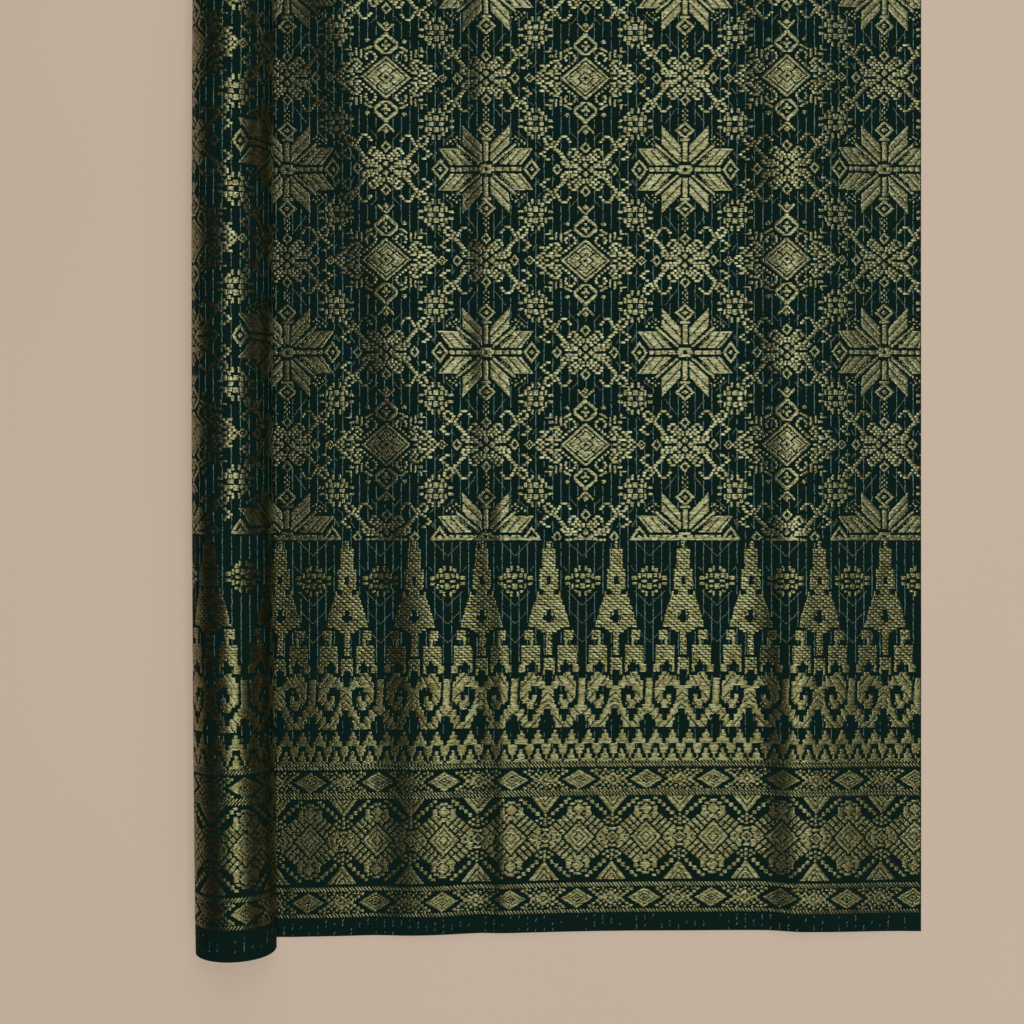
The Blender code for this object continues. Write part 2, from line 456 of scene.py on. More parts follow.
# In a star's row a cross flower has a small V beyond its tips. In a lozenge's row it has a dotted chain
# there, and a small ring at each side.
crossTip = (
    ("fine", "line", 0.2, 49.2, 7.6, 41.2, 2.2),
    ("fine", "lozenge", 0, 41.9, 3.3, 3.6),
)
crossSide = (
    ("fine", "ring", 43.4, 0, 5, 5.8, 0.60),
    ("fine", "box", 43.4, 0, 1.8, 1.6),
    ("fine", "dots", 1.3, 1.3, 0, 32.2, 2.3, 35.0, 0, 37.8, 2.3, 40.6, 0, 43.4, 2.3, 46.2),
)
lozengeFlower = (
    ("close", "ring", 0, 36.2, 14.8, 14, 0.68),
    ("bare", "box", 14, 36.2, 4.4, 8),
    ("bare", "box", 0, 23.6, 12, 4.4),
    ("fine", "box", 0, 36.2, 8.6, 2.8),
    ("fine", "box", 0, 40.2, 3, 3),
    ("fine", "box", 0, 32.2, 3, 3),
    ("bare", "box", 0, 36.2, 1.8, 1.8),
    ("fine", "box", 0, 48.6, 4.4, 1.6),
    ("close", "ring", 0, 0, 24.6, 24, 0.87),
    ("close", "ring", 0, 0, 19.4, 18.4, 0.84),
    ("close", "ring", 0, 0, 15.4, 14, 0.56),
    ("bare", "line", 4, 4, 10.5, 10, 1.4),
    ("fine", "ring", 0, 0, 6.4, 6.6, 0.42),
    ("dash", "row", 19.6, 10.6, 2.2, 19.4, 2.4),
    ("dash", "row", 16.8, 13.4, 2.4, 27, 3.2, 34.4, 2.6),
    ("dash", "row", 14, 16.6, 2.4, 24.6, 2.4, 29.6, 2.6, 37.6, 3.4, 43.6, 4.6),
    ("dash", "row", 11.2, 19.6, 2.4, 26.4, 2.6, 31, 3, 40.4, 3.4),
    ("dash", "row", 8.4, 22.6, 2.4, 29, 2.4, 34.6, 4, 42.6, 5),
    ("dash", "row", 5.6, 27.6, 6.4, 36.8, 7.6, 46, 4.4),
    ("dash", "row", 2.8, 33.4, 3, 43, 3, 48.6, 3),
    ("dash", "row", 0, 29.6, 4, 38.8, 4, 45.2, 3, 51.4, 2),
    ("dash", "row", 28, 15.2, 4.4),
    ("dash", "row", 25.2, 11.4, 2.4, 19, 2.4),
    ("dash", "row", 22.4, 10, 2.2, 20.4, 2.2),
    ("fine", "line", 14.6, 33.8, 20.8, 29.8, 2.4),
    ("fine", "lozenge", 18.2, 40.2, 3, 2.6),
    ("fine", "box", 24.7, 25.4, 2.2, 10.6),
    ("fine", "box", 29.4, 27.2, 2.2, 7.4),
    ("fine", "box", 35.2, 31.8, 2.4, 5),
    ("fine", "box", 37.4, 29.4, 7, 2.4),
    ("fine", "box", 34.4, 24.2, 4.8, 3),
    ("fine", "box", 29.6, 19.4, 6, 2.4),
    ("fine", "box", 35, 18.2, 2.6, 2.6),
)

# Border charts. Their heights are v, and x is from a spire's axis, folded to be the same both ways.
spire = (
    ("twill", "box", 0, 392.5, 4, 8),
    ("twill", "box", 0, 378.2, 13.2, 20.4),
    ("twill", "box", 0, 357.6, 19.4, 19.8),
    ("bare", "box", 0, 356.6, 3.6, 8),
    ("twill", "box", 0, 339.6, 10.4, 16.4),
    ("fine", "box", 10.8, 342.6, 1.8, 6),
    ("twill", "polygon", 5, 341.5, 12, 341.5, 15.8, 330, 18.8, 320, 21.4, 308.4, 5, 308.4),
    ("twill", "box", 0, 319, 12, 26),
    ("bare", "box", 0, 320.4, 4, 14),
    ("bare", "box", 0, 320.4, 10.4, 7),
    ("fine", "box", 3.2, 322.6, 2.4, 3),
    ("twill", "line", 12, 311, 1, 304, 5),
    ("twill", "box", 19.8, 301.7, 9.8, 9.2),
    ("fine", "box", 17.2, 293.4, 3, 7.2),
    ("twill", "box", 18.2, 280.2, 18.8, 19.4),
    ("bare", "polygon", 16.6, 276.6, 20, 270, 13.2, 270),
    ("fine", "box", 26.8, 267.2, 6.4, 7.2),
    ("fine", "box", 10.2, 267.3, 2.6, 7),
    ("twill", "box", 0, 293.5, 6, 25),
    ("twill", "box", 0, 272.4, 11.8, 13),
    ("fine", "box", 4.8, 263.4, 2.3, 5.6),
)
scroll = (
    ("close", "box", 17.8, 266.6, 2.3, 6.4),
    ("close", "box", 18, 262, 7.4, 3.6),
    ("close", "box", 15.6, 257.2, 18, 6),
    ("close", "box", 15.4, 252.2, 24.6, 4.8),
    ("close", "box", 6.2, 248.6, 6, 3.8),
    ("close", "box", 22.3, 247, 10.6, 6.6),
    ("close", "box", 23.5, 239.5, 8.2, 9.6),
    ("close", "box", 21.2, 233.6, 6.8, 5.2),
    ("close", "box", 15.8, 232.8, 10, 4.8),
    ("close", "box", 16.6, 228.6, 7, 4.2),
    ("close", "box", 13.4, 237.6, 4.2, 5.4),
    ("bare", "line", 8.9, 259.2, 14, 251.4, 1.0),
    ("bare", "line", 15.4, 262.8, 26, 249, 1.0),
    ("bare", "line", 20.1, 243.8, 27, 235, 1.0),
    ("bare", "line", 11, 234.6, 14.9, 228, 1.0),
    ("bare", "line", 18.7, 235.6, 23.6, 230.8, 1.0),
    ("close", "box", 0, 247, 7.6, 4),
    ("close", "box", 0, 242.4, 11.4, 5.6),
    ("close", "box", 0, 237, 12.2, 6.2),
    ("close", "box", 0, 232, 13.8, 4.2),
    ("close", "box", 0, 228, 17.4, 4.4),
    ("bare", "line", 0, 242.8, 5.8, 237.4, 1.0),
    ("bare", "line", 0, 236.4, 5.4, 231.4, 1.0),
    ("bare", "line", 0, 230, 4, 227, 1.0),
    ("close", "box", 7.5, 223, 8.2, 6.2),
    ("close", "box", 10.4, 216.8, 8.2, 6.6),
    ("close", "box", 17, 210.5, 17.2, 6.4),
    ("close", "box", 24.3, 216.8, 9.8, 6.6),
    ("close", "box", 28.6, 223, 10.6, 6.4),
    ("bare", "line", 5, 221.2, 16.6, 207.4, 1.0),
    ("bare", "line", 18.3, 214.6, 24.6, 207.4, 1.0),
    ("bare", "line", 22.7, 219.8, 27.8, 214, 1.0),
    ("bare", "line", 27.2, 225.8, 33.6, 219.6, 1.0),
    ("close", "box", 33.6, 243.4, 6.6, 26.6),
    ("close", "box", 33.6, 228, 12.2, 3.4),
)
teeth = (
    ("fine", "box", 0, 30.2, 2.8, 4.8),
    ("fine", "box", 0, 25.8, 6.8, 4.8),
    ("fine", "box", 0, 20.8, 12.8, 5.6),
    ("fine", "box", 8.4, 15.2, 8.8, 5.8),
    ("fine", "box", 8.4, 10.4, 6.2, 4.8),
    ("fine", "box", 0, 11, 3.2, 4.4),
    ("fine", "box", 0, 6, 7.2, 5.6),
    ("fine", "box", 8.4, 6, 1.8, 5.6),
    ("fine", "box", 0, 2, 14, 3),
)
narrowBand = (
    ("close", "lozenge", 0, 0, 16, 9.8),
    ("bare", "ring", 0, 0, 11.4, 7.2, 0.90),
    ("bare", "ring", 0, 0, 6.6, 4.4, 0.66),
    ("bare", "lozenge", 0, 0, 2.0, 1.5),
    ("fine", "box", 13, 8.2, 3.4, 2.2),
    ("fine", "box", 16.9, 5.6, 3.6, 2.4),
    ("fine", "box", 20.5, 3, 3.6, 2.4),
    ("fine", "box", 23.6, 0, 4.4, 2.8),
    ("fine", "ring", 33.6, 0, 7.6, 7.8, 0.5),
    ("fine", "lozenge", 33.6, 0, 2.4, 2.5),
    ("fine", "box", 26.9, 3.4, 2.6, 2.4),
    ("fine", "box", 24, 6.2, 3, 2.4),
    ("fine", "box", 20.6, 8.8, 3, 2.2),
    ("fine", "box", 29.2, 7.4, 2.6, 2.4),
    ("fine", "box", 33.6, 9.2, 3.4, 1.8),
    ("fine", "box", 26, 9.6, 2.2, 1.6),
    ("fine", "box", 16.8, 9.6, 2.2, 1.6),
)
mainBand = (
    ("fine", "rungs", 0, 0, 33.6, 28.7, 0.47, 1.22, 7.6, 5.0),
    ("bare", "lozenge", 0, 28.6, 13.2, 11.4),
    ("bare", "lozenge", 33.6, 0, 13.2, 11.4),
    ("bare", "polygon", 16, 43, 34, 43, 34, 13, 30, 13),
    ("bare", "lozenge", 0, 0, 18, 19),
    ("close", "lozenge", 0, 0, 15, 16),
    ("bare", "ring", 0, 0, 10.8, 11.8, 0.88),
    ("bare", "ring", 0, 0, 5.8, 6.1, 0.75),
    ("fine", "box", 9.2, 28.6, 4.6, 6.6),
    ("fine", "box", 6.3, 33.8, 5, 3),
    ("fine", "box", 6.3, 23.4, 5, 3),
    ("fine", "box", 0, 36.8, 7.6, 3),
    ("fine", "box", 0, 20.4, 7.6, 3),
    ("fine", "lozenge", 0, 28.6, 6.4, 6.2),
    ("fine", "box", 24.5, 0, 4.4, 6.4),
    ("fine", "box", 27, 5.3, 4.8, 3.2),
    ("fine", "box", 33.6, 8.6, 7.2, 3),
    ("fine", "lozenge", 33.6, 0, 6.6, 6.2),
    ("bare", "ring", 33.6, 0, 3.6, 3.4, 0.5),
    ("bare", "box", 33.6, 0, 1.2, 1.2),
    ("fine", "dots", 3.8, 3.2, 9.4, 39.1, 13.2, 35.7, 17.6, 31.8, 21.9, 28, 26, 24.3),
    ("close", "polygon", 18.8, 42.8, 48.4, 42.8, 33.6, 24),
    ("bare", "line", 24.4, 43, 33.6, 31, 1.0),
    ("bare", "line", 28.8, 43, 33.6, 36.4, 1.0),
    ("fine", "box", 33.6, 17.8, 3, 4),
    ("fine", "box", 29.6, 20, 3.4, 2.6),
    ("fine", "box", 29, 14.8, 3.2, 2.4),
    ("fine", "box", 33.6, 13, 3, 2.6),
    ("fine", "box", 25.8, 17.6, 3, 2.4),
    ("fine", "box", 33.6, 22.6, 2.4, 2.4),
)


# Shapes. Each tells which places of a window are in it.

def inBox(x, y, middleX, middleY, width, height):
    return (np.abs(x - middleX) <= width / 2) & (np.abs(y - middleY) <= height / 2)


def inLozenge(x, y, middleX, middleY, halfWidth, halfHeight):
    return np.abs(x - middleX) / halfWidth + np.abs(y - middleY) / halfHeight <= 1


def inRing(x, y, middleX, middleY, halfWidth, halfHeight, inner):
    reach = np.abs(x - middleX) / halfWidth + np.abs(y - middleY) / halfHeight
    return (reach <= 1) & (reach >= inner)


def inLine(x, y, startX, startY, endX, endY, width):
    runX, runY = endX - startX, endY - startY
    share = np.clip(((x - startX) * runX + (y - startY) * runY) / (runX ** 2 + runY ** 2), 0, 1)
    return np.hypot(x - startX - share * runX, y - startY - share * runY) <= width / 2


def inPolygon(x, y, *corners):
    points = [(corners[i], corners[i + 1]) for i in range(0, len(corners), 2)]
    left, right = True, True
    for (startX, startY), (endX, endY) in zip(points, points[1:] + points[:1]):
        side = (endX - startX) * (y - startY) - (endY - startY) * (x - startX)
        left = left & (side >= 0)
        right = right & (side <= 0)
    return left | right


# Spots of one size, at any number of places.
def inDots(x, y, width, height, *places):
    inside = np.zeros(np.broadcast(x, y).shape, bool)
    for i in range(0, len(places), 2):
        inside |= inBox(x, y, places[i], places[i + 1], width, height)
    return inside


rowHalfHeight = 1.15
rungSplit = 0.024


def inRow(x, y, rowY, *dashes):
    inside = np.zeros(np.broadcast(x, y).shape, bool)
    for i in range(0, len(dashes), 2):
        inside |= np.abs(x - dashes[i]) <= dashes[i + 1] / 2
    return inside & (np.abs(y - rowY) < rowHalfHeight)


def inRungs(x, y, middleX, middleY, halfWidth, halfHeight, inner, outer, pitch, bar):
    reach = np.abs(x - middleX) / halfWidth + np.abs(y - middleY) / halfHeight
    split = np.abs(reach - (inner + outer) / 2) < rungSplit
    return (reach > inner) & (reach < outer) & ((x - y) % pitch < bar) & ~split


shapes = {
    "box": inBox,
    "dots": inDots,
    "lozenge": inLozenge,
    "ring": inRing,
    "line": inLine,
    "polygon": inPolygon,
    "row": inRow,
    "rungs": inRungs,
}

# Threads. Widths and lengths are in units. A "spaced" thread takes every other pick, a float longer than
# "longest" is tied down by a gap, and "shift" steps the ties from pick to pick.
threads = {
    "fine": {
        "code": 1, "spaced": False, "width": 1.42, "over": 0.6,
        "longest": 7.0, "gap": 0.4, "shift": None, "slant": 0,
    },
    "close": {
        "code": 2, "spaced": False, "width": 1.5, "over": 0.5,
        "longest": 9.0, "gap": 0.4, "shift": None, "slant": 0,
    },
    "dash": {
        "code": 3, "spaced": True, "width": 2.5, "over": 1.0,
        "longest": 0, "gap": 0, "shift": None, "slant": 0,
    },
    "twill": {
        "code": 4, "spaced": True, "width": 2.15, "over": 0.3,
        "longest": 5.6, "gap": 0.5, "shift": 2.9, "slant": -6,
    },
}
codes = {name: thread["code"] for name, thread in threads.items()}
codes["bare"] = 0

# The gold weft, in units but where said. A pick is 0.64 mm of cloth.
weave = {
    "pick": 92.25 / 72,
    "firstPick": 0.25,
    "column": 0.5,
    "seed": 7,
    "jitter": 0.18,
    "shortest": 0.9,
    "lengths": (0.95, 1.05),
    "turn": 1.2,  # degrees
    "rise": 0.05,
    "lowest": 0.13,  # mm, as the next two
    "highest": 0.17,
    "sunk": 0.012,
}
# The ground's flowers stand on a lattice. Its gold starts with a plain row below each star and flower.
lattice = {
    "x": -634.4,
    "v": 769.0,
    "stepX": 99.6,
    "stepV": 92.25,
    "columns": (-5, 9),
    "rows": (-5, 4),
    "reach": 63,
    "flowerX": 49.8,
    "flowerV": 46.125,
    "flowerReach": 19,
    "tall": 0.915,  # the cross and lozenge flowers are that much flatter than they were charted
    "startV": 398.2,
    "startThick": 2.5,
    "startStar": 55,
    "startCross": 11,
}
# The border's motifs are a period apart, and lean by "lean" at the heights "leanV".
border = {
    "period": 67.25,
    "axisX": -36.0,
    "groundFrom": 396.4,
    "spires": 17,
    "flowerV": 356.0,
    "leanV": (0, 33, 94, 154, 190, 230, 265),
    "lean": (-6.6, -5.8, -3.9, -3.2, -2.7, -1.5, 0),
}
# Gold is set only where it shows: on the sheet, and on the roll's outer turn.
fields = {
    "sheet": {"fromX": -676.0, "toX": 0.0, "lean": 1.0, "toV": 988.0},
    "roll": {"fromX": -984.0, "toX": -779.0, "lean": 0.0, "toV": 981.0},
}


def evenPick(v):
    step = 2 * weave["pick"]
    return round((v - weave["firstPick"]) / step) * step + weave["firstPick"]


def newField(settings):
    columns = np.arange(settings["fromX"], settings["toX"], weave["column"]) + weave["column"] / 2
    count = int((settings["toV"] - weave["firstPick"]) / weave["pick"])
    rows = weave["firstPick"] + weave["pick"] * np.arange(count)
    codesHere = np.zeros((rows.size, columns.size), np.uint8)
    return {"x": columns, "v": rows, "codes": codesHere, "settings": settings}


def drawChart(x, y, chart):
    drawn = np.zeros(np.broadcast(x, y).shape, np.uint8)
    for thread, shape, *numbers in chart:
        drawn[shapes[shape](x, y, *numbers)] = codes[thread]
    return drawn


# Adds a motif that is the same to its left and right, and above and below its middle.
def stamp(field, chart, middleX, middleV, reach, tall=1.0):
    rows = np.flatnonzero(np.abs(field["v"] - middleV) <= reach)
    columns = np.flatnonzero(np.abs(field["x"] - middleX) <= reach)
    if rows.size == 0 or columns.size == 0:
        return
    window = (slice(rows[0], rows[-1] + 1), slice(columns[0], columns[-1] + 1))
    x = np.abs(field["x"][window[1]] - middleX)[None, :]
    y = np.abs(field["v"][window[0]] - middleV)[:, None] / tall
    drawn = drawChart(x, y, chart)
    field["codes"][window] = np.maximum(field["codes"][window], drawn)


def borderLean(field, v):
    return field["settings"]["lean"] * np.interp(v, border["leanV"], border["lean"])


# Adds a band of motifs a period apart, one of them offset from the spire's axis.
def stampBand(field, chart, middleV, fromV, toV, mirrored, periodShare, offsetShare):
    period = border["period"] * periodShare
    offset = border["period"] * offsetShare
    rows = np.flatnonzero((field["v"] >= fromV) & (field["v"] <= toV))
    v = field["v"][rows][:, None]
    x = field["x"][None, :] - border["axisX"] - offset - borderLean(field, v)
    x = np.abs((x + period / 2) % period - period / 2)
    y = np.abs(v - evenPick(middleV)) if mirrored else v - middleV
    drawn = drawChart(x + 0 * y, y + 0 * x, chart)
    field["codes"][rows] = np.maximum(field["codes"][rows], drawn)


# The ground: stars and cross flowers in one row, lozenge and cross flowers in the next.
def fillGround(field):
    for i in range(*lattice["columns"]):
        x = lattice["x"] + lattice["stepX"] * i
        for n in range(*lattice["rows"]):
            v = lattice["v"] + lattice["stepV"] * n
            starRow = n % 2 == 0
            if starRow and i % 2 == 0:
                chart = starFlower
            elif not starRow and i % 2 != 0:
                chart = lozengeFlower
            else:
                chart = crossFlower + (crossTip if starRow else crossSide)
            tall = 1.0 if chart is starFlower else lattice["tall"]
            flowerX, flowerV = x + lattice["flowerX"], v + lattice["flowerV"]
            stamp(field, chart, x, v, lattice["reach"], tall)
            stamp(field, smallFlower, flowerX, flowerV, lattice["flowerReach"])
    field["codes"][field["v"] < border["groundFrom"]] = 0
    startRow = np.abs(field["v"] - lattice["startV"]) < lattice["startThick"] / 2
    for i in range(*lattice["columns"]):
        x = lattice["x"] + lattice["stepX"] * i
        near = np.abs(field["x"] - x) < lattice["startStar" if i % 2 == 0 else "startCross"]
        field["codes"][np.ix_(startRow, near)] = codes["fine"]


# Bands, from the spires down: the chart, its middle in v, the v that it runs from and to, whether its
# lower half mirrors its upper one, and its period and its offset as shares of the spires' period.
bands = (
    (spire, 0, 258, 397, False, 1, 0),
    (scroll, 0, 204, 264, False, 1, 0),
    (teeth, 172, 171.5, 204, False, 1 / 4, 1 / 8),
    (narrowBand, 154.3, 143, 166, True, 1, 1 / 2),
    (mainBand, 93.9, 50, 137, True, 1, 1 / 2),
    (narrowBand, 33.4, 22, 45, True, 1, 1 / 2),
)


def fillBorder(field):
    for band in bands:
        stampBand(field, *band)
    for k in range(-1, border["spires"]):
        x = border["axisX"] - border["period"] * (k + 0.5)
        stamp(field, smallFlower, x, border["flowerV"], lattice["flowerReach"])


# Ropes: rows of slanted dashes between the bands.
ropes = (
    {"v": 20.6, "period": 3.3, "length": 4.8, "width": 1.5, "slant": -50},
    {"v": 46.9, "period": 3.3, "length": 6.2, "width": 1.6, "slant": -46},
    {"v": 138.9, "period": 3.3, "length": 4.4, "width": 1.4, "slant": -48},
    {"v": 142.2, "period": 3.3, "length": 4.4, "width": 1.4, "slant": -48},
    {"v": 168.4, "period": 3.3, "length": 4.8, "width": 1.5, "slant": -46},
    {"v": 171.6, "period": 3.3, "length": 3.4, "width": 1.3, "slant": -52},
)
ropeInset = {"left": 3, "right": 2}


# Floats, one a row. Their places, lengths and widths are in units, their slants in degrees.
def asFloats(x, v, length, width, slant):
    return np.stack(np.broadcast_arrays(x, v, length, width, slant), axis=1).astype(float)


def threadFloats(field, thread, random):
    step = weave["column"]
    inside = field["codes"] == thread["code"]
    if thread["spaced"]:
        inside[1::2] = False
    if thread["longest"]:
        period = thread["longest"] + thread["gap"]
        rows = np.arange(inside.shape[0])
        if thread["shift"] is None:
            offset = random.uniform(0, period, rows.size)
        else:
            offset = rows // 2 * thread["shift"]
        inside &= (field["x"][None, :] + offset[:, None]) % period >= thread["gap"]
    edges = np.diff(np.pad(inside, ((0, 0), (1, 1))).astype(np.int8), axis=1)
    rows, starts = np.nonzero(edges == 1)
    ends = np.nonzero(edges == -1)[1]
    length = (ends - starts) * step
    kept = length >= weave["shortest"]
    rows, starts, length = rows[kept], starts[kept], length[kept]
    x = field["settings"]["fromX"] + starts * step + length / 2
    return asFloats(x, field["v"][rows], length + thread["over"], thread["width"], thread["slant"])


def ropeFloats(field, rope):
    settings = field["settings"]
    left, right = settings["fromX"] + ropeInset["left"], settings["toX"] - ropeInset["right"]
    slant = rope["slant"] if settings["lean"] else -rope["slant"]
    return asFloats(np.arange(left, right, rope["period"]), rope["v"], rope["length"], rope["width"], slant)


# All of a field's gold, a little uneven as hand weaving is.
def fieldFloats(field, random):
    found = [threadFloats(field, thread, random) for thread in threads.values()]
    found += [ropeFloats(field, rope) for rope in ropes]
    floats = np.concatenate(found)
    floats[:, 0] += random.normal(0, weave["jitter"], floats.shape[0])
    floats[:, 1] += random.normal(0, weave["jitter"] / 2, floats.shape[0])
    floats[:, 2] *= random.uniform(*weave["lengths"], floats.shape[0])
    floats[:, 4] += random.normal(0, weave["turn"], floats.shape[0])
    return floats


random = np.random.default_rng(weave["seed"])
charted = {}
for fieldName, fieldSettings in fields.items():
    charted[fieldName] = newField(fieldSettings)
    fillGround(charted[fieldName])
    fillBorder(charted[fieldName])
sheetFloats = fieldFloats(charted["sheet"], random)
rollFloats = fieldFloats(charted["roll"], random)

# On the roll the pattern has drifted: the weave is a little slack there.
rollDrift = {"x": 7.0, "v": 7.5, "hemV": 4.0, "over": 400.0}
rollFloats[:, 1] += rollDrift["v"] + rollDrift["hemV"] * (1 - smooth(rollFloats[:, 1] / rollDrift["over"]))
rollFloats[:, 0] += rollDrift["x"]

# Towards the far edge of the sheet the pattern is drawn together a little.
sheetDrift = {"from": 640.0, "share": 0.0125}


def driftSheet(floats):
    floats[:, 1] -= sheetDrift["share"] * np.maximum(floats[:, 1] - sheetDrift["from"], 0)


driftSheet(sheetFloats)
print("charts drawn", len(sheetFloats), "floats on the sheet,", len(rollFloats), "on the roll")


# Stitches. One bulging float is set on every place, sized and turned by its point.

def makeFloatTree():
    tree = bpy.data.node_groups.new("floatStitch", "GeometryNodeTree")
    sockets = tree.interface
    sockets.new_socket("Geometry", in_out="INPUT", socket_type="NodeSocketGeometry")
    for name, kind, value in (
        ("Points Along", "Int", 4),
        ("Points Across", "Int", 3),
        ("End Drop", "Float", 0.6),
        ("Side Drop", "Float", 0.92),
        ("Fullness", "Float", 1.0),
        ("Roll", "Float", 0.10),
        ("Turn", "Float", 0.03),
        ("Seed", "Int", 3),
    ):
        sockets.new_socket(name, in_out="INPUT", socket_type="NodeSocket" + kind).default_value = value
    sockets.new_socket("Material", in_out="INPUT", socket_type="NodeSocketMaterial")
    sockets.new_socket("Geometry", in_out="OUTPUT", socket_type="NodeSocketGeometry")
    given = addNode(tree, "NodeGroupInput").outputs
    values = {"Vertices X": given["Points Along"], "Vertices Y": given["Points Across"]}
    grid = addNode(tree, "GeometryNodeMeshGrid", {"Size X": 1.0, "Size Y": 1.0, **values})
    place = addNode(tree, "ShaderNodeSeparateXYZ", {0: addNode(tree, "GeometryNodeInputPosition")})
    height = 1.0
    squares = []
    for axis, drop in ((0, "End Drop"), (1, "Side Drop")):
        double = addNode(tree, "ShaderNodeMath", {0: place.outputs[axis], 1: 2.0}, operation="MULTIPLY")
        square = addNode(tree, "ShaderNodeMath", {0: double, 1: double}, operation="MULTIPLY")
        fall = addNode(tree, "ShaderNodeMath", {0: square, 1: given[drop]}, operation="MULTIPLY")
        height = addNode(tree, "ShaderNodeMath", {0: height, 1: fall}, operation="SUBTRACT")
        squares.append(square)
    fade = addNode(tree, "ShaderNodeMath", {0: 1.0, 1: squares[0]}, operation="SUBTRACT")
    outward = addNode(tree, "ShaderNodeMath", {0: place.outputs[0], 1: fade}, operation="MULTIPLY")
    outward = addNode(tree, "ShaderNodeMath", {0: outward, 1: given["Fullness"]}, operation="MULTIPLY")
    lift = addNode(tree, "ShaderNodeCombineXYZ", {"X": outward, "Z": height})
    bulged = addNode(tree, "GeometryNodeSetPosition", {"Geometry": grid, "Offset": lift})
    rounded = addNode(tree, "GeometryNodeSetShadeSmooth", {"Geometry": bulged})
    size = addNode(tree, "GeometryNodeInputNamedAttribute", {"Name": "size"}, data_type="FLOAT_VECTOR")
    slant = addNode(tree, "GeometryNodeInputNamedAttribute", {"Name": "slant"}, data_type="FLOAT")
    most = addNode(tree, "ShaderNodeCombineXYZ", {"X": given["Roll"], "Z": given["Turn"]})
    least = addNode(tree, "ShaderNodeVectorMath", {0: most, "Scale": -1.0}, operation="SCALE")
    values = {0: least, 1: most, "Seed": given["Seed"]}
    unsteady = addNode(tree, "FunctionNodeRandomValue", values, data_type="FLOAT_VECTOR")
    turned = addNode(tree, "ShaderNodeCombineXYZ", {"Z": slant})
    rotation = addNode(tree, "ShaderNodeVectorMath", {0: unsteady, 1: turned}, operation="ADD")
    values = {"Points": given["Geometry"], "Instance": rounded, "Rotation": rotation, "Scale": size}
    placed = addNode(tree, "GeometryNodeInstanceOnPoints", values)
    real = addNode(tree, "GeometryNodeRealizeInstances", {"Geometry": placed})
    values = {"Geometry": real, "Material": given["Material"]}
    coloured = addNode(tree, "GeometryNodeSetMaterial", values)
    addNode(tree, "NodeGroupOutput", {"Geometry": coloured})
    return tree


floatTree = makeFloatTree()

# Stitches start a little below the cloth's face, so that none floats over it.
faceOut = path["halfThick"] - weave["sunk"] / 1000

# How high a piece's stitches stand, as a share of what the sheet's gold does.
riseShares = {"goldRoll": 0.8, "goldRollBorder": 0.8, "turquoiseDashes": 0.7, "linkThreads": 0.9}


# A point for each float, on the flat cloth, with its stitch's size and slant and a shade of its own.
def floatPoints(name, floats):
    data = bpy.data.meshes.new(name + "Points")
    data.vertices.add(len(floats))
    places = np.stack([floats[:, 0] * unit, floats[:, 1] * unit, np.full(len(floats), faceOut)], axis=1)
    data.vertices.foreach_set("co", places.ravel().astype(np.float32))
    rise = np.clip(weave["rise"] * floats[:, 2] * unit, weave["lowest"] / 1000, weave["highest"] / 1000)
    rise = rise * riseShares.get(name, 1.0)
    size = np.stack([floats[:, 2] * unit, floats[:, 3] * unit, rise], axis=1)
    for layerName, kind, member, values in (
        ("size", "FLOAT_VECTOR", "vector", size),
        ("slant", "FLOAT", "value", np.radians(floats[:, 4])),
        ("shade", "FLOAT", "value", random.uniform(0, 1, len(floats))),
    ):
        layer = data.attributes.new(layerName, kind, "POINT")
        layer.data.foreach_set(member, values.ravel().astype(np.float32))
    return makeObject(name + "Points", data)


# A plain mesh with a stitch at each point. The points themselves go.
def growStitches(name, points, material, inputs):
    modifier = points.modifiers.new("stitches", "NODES")
    modifier.node_group = floatTree
    items = [item for item in floatTree.interface.items_tree if item.in_out == "INPUT"]
    sockets = {item.name: item.identifier for item in items}
    for inputName, value in inputs.items():
        modifier[sockets[inputName]] = value
    modifier[sockets["Material"]] = material
    depsgraph = bpy.context.evaluated_depsgraph_get()
    evaluated = points.evaluated_get(depsgraph)
    mesh = bpy.data.meshes.new_from_object(evaluated, preserve_all_data_layers=True, depsgraph=depsgraph)
    mesh.name = name
    data = points.data
    bpy.data.objects.remove(points, do_unlink=True)
    bpy.data.meshes.remove(data)
    for layerName in ("size", "slant"):
        if layerName in mesh.attributes:
            mesh.attributes.remove(mesh.attributes[layerName])
    return mesh


# Lays a mesh that was made on the flat cloth onto the cloth as it lies.
def layMesh(mesh):
    flat = np.empty(len(mesh.vertices) * 3, np.float32)
    mesh.vertices.foreach_get("co", flat)
    flat = flat.reshape(-1, 3).astype(float)
    laid = clothPoint(flat[:, 0], flat[:, 1], flat[:, 2])
    mesh.vertices.foreach_set("co", laid.ravel().astype(np.float32))
    mesh.update()


def makeFloats(name, floats, material, inputs=None):
    mesh = growStitches(name, floatPoints(name, floats), material, inputs or {})
    layMesh(mesh)
    print(name, len(floats), "stitches")
    return makeObject(name, mesh)


# Sizes of its patterns are in mm, along each axis.
gold = {
    "ground": {"light": "9a9d77", "dark": "6b6642"},
    "border": {"light": "91936a", "dark": "655f36"},  # the border is woven with a deeper thread
    "wear": (6.25, 6.25, 6.25),
    "wearShare": 0.5,
    "shadeShare": 0.6,
    "brightRange": (0.2, 0.9),
    "strand": (1.111, 0.1923, 1.111),
    "strandRange": (0.3, 0.7),
    "bumpDepth": 0.00005,
    "bump": 0.35,
    "roughness": 0.33,
    "roughnessSpread": 0.10,
}


